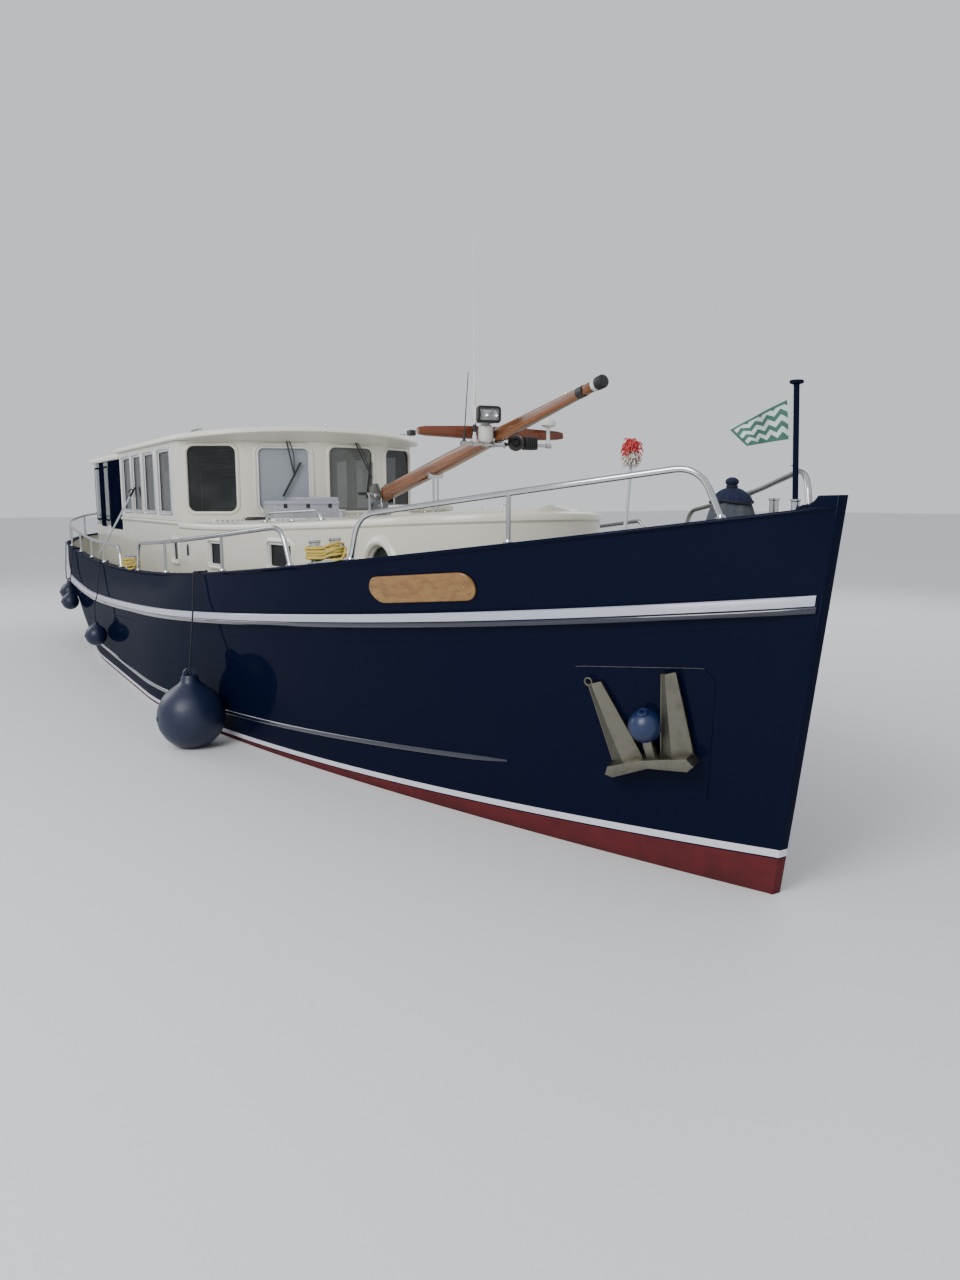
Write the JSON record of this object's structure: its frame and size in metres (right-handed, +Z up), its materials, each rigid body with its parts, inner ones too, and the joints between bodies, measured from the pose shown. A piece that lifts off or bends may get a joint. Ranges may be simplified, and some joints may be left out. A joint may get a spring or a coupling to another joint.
{
  "type": "motor yacht",
  "caption": "Steel displacement motor yacht with navy hull, cream wheelhouse, canvas-sided cockpit, lowered wooden mast, rails, bollards, anchors, fenders, rudder and propeller.",
  "frame": {"origin": "on the centre plane at the waterline, 7.14 m abaft the stem's waterline", "axes": "+X forward to the bow, +Y to port, +Z up"},
  "size_m": [14.87, 4.4746, 5.4044],
  "materials": {
    "navy_hull": "glossy navy topside paint over white and red bands near the waterline",
    "navy_paint": "glossy navy enamel",
    "white_stripe": "gloss white paint over a navy half round",
    "cream_paint": "satin cream enamel",
    "window_glass": "clear window glass",
    "varnished_wood": "orange-brown varnished hardwood",
    "seat_vinyl": "cream seat cover",
    "navy_canvas": "matt navy acrylic canvas",
    "black_plastic": "black plastic",
    "stainless": "polished stainless steel",
    "flag_cloth": "green and white zigzag cloth",
    "grey_cover": "matt grey cloth cover",
    "galvanised": "galvanised steel",
    "navy_vinyl": "navy inflatable vinyl",
    "mop_yarn": "red and white yarn",
    "grey_box": "grey moulded plastic",
    "bronze": "bronze",
    "antifouling": "matt brick red antifouling"
  },
  "bodies": {
    "yacht": {"hull": "navy_hull", "bulwark": "navy_hull", "rubbing_strake": "white_stripe", "trunk_cabin": "cream_paint", "wheelhouse_front": "cream_paint", "wheelhouse_starboard": "cream_paint", "wheelhouse_port": "cream_paint", "wheelhouse_back": "cream_paint", "wheelhouse_roof": "cream_paint", "wheelhouse_glazing": "window_glass", "helm_console": "varnished_wood", "helm_seat": "seat_vinyl", "forehatch_coaming": "cream_paint", "skylight_coaming": "cream_paint", "cockpit_coaming": "cream_paint", "hardtop": "cream_paint", "canvas_starboard": "navy_canvas", "canvas_port": "navy_canvas", "canvas_aft": "navy_canvas", "tabernacle": "stainless", "mast_crutch": "stainless", "bow_rail_starboard": "stainless", "bow_rail_port": "stainless", "waist_rail_starboard": "stainless", "waist_rail_port": "stainless", "stern_rail": "stainless", "bollard_fore_starboard": "stainless", "bollard_fore_port": "stainless", "bollard_aft_starboard": "stainless", "bollard_aft_port": "stainless", "jackstaff": "navy_paint", "flag": "flag_cloth", "windlass": "grey_cover", "anchor_starboard": "galvanised", "anchor_port": "galvanised", "fender_1": "navy_vinyl", "fender_2": "navy_vinyl", "fender_3": "navy_vinyl", "fender_4": "navy_vinyl", "mop": "mop_yarn", "deck_box": "grey_box", "grab_rail_starboard": "stainless", "grab_rail_port": "stainless"},
    "mast": {"mast": "varnished_wood", "crosstree": "varnished_wood", "masthead_light": "black_plastic", "instrument_bar": "stainless"},
    "door": {"door_aft": "cream_paint"},
    "skylight": {"skylight_lid": "cream_paint"},
    "forehatch": {"forehatch_lid": "cream_paint"},
    "gate": {"cockpit_gate": "cream_paint"},
    "helm": {"helm_wheel": "varnished_wood"},
    "propeller": {"propeller": "bronze"},
    "rudder": {"rudder": "antifouling"}
  },
  "joints": [
    {"name": "mast_raise", "type": "hinge", "parent": "yacht", "child": "mast", "pos_m": [1.86, 0, 2.279], "axis": [0, -1, 0], "range_deg": [0, 78]},
    {"name": "door_hinge", "type": "hinge", "parent": "yacht", "child": "door", "pos_m": [-3.962, 0.327, 1.9], "axis": [0, 0, -1], "range_deg": [0, 110]},
    {"name": "skylight_hinge", "type": "hinge", "parent": "yacht", "child": "skylight", "pos_m": [2.48, 0, 2.135], "axis": [0, -1, 0], "range_deg": [0, 20]},
    {"name": "forehatch_hinge", "type": "hinge", "parent": "yacht", "child": "forehatch", "pos_m": [5.8, 0, 1.6471], "axis": [0, 1, 0], "range_deg": [0, 90]},
    {"name": "gate_hinge", "type": "hinge", "parent": "yacht", "child": "gate", "pos_m": [-5.353, -1.378, 1.5], "axis": [0, 0, -1], "range_deg": [0, 90]},
    {"name": "rudder_turn", "type": "hinge", "parent": "yacht", "child": "rudder", "pos_m": [-5.62, 0, -0.6], "axis": [0, 0, 1], "range_deg": [-35, 35]},
    {"name": "helm_turn", "type": "hinge", "parent": "yacht", "child": "helm", "pos_m": [-1.035, -0.75, 1.7], "axis": [1, 0, 0], "range_deg": [-525, 525]},
    {"name": "propeller_turn", "type": "hinge", "parent": "yacht", "child": "propeller", "pos_m": [-5.05, 0, -0.68], "axis": [1, 0, 0], "continuous": true}
  ],
  "couplings": [
    {"joint": "helm_turn", "follows": "rudder_turn", "ratio": 15}
  ]
}
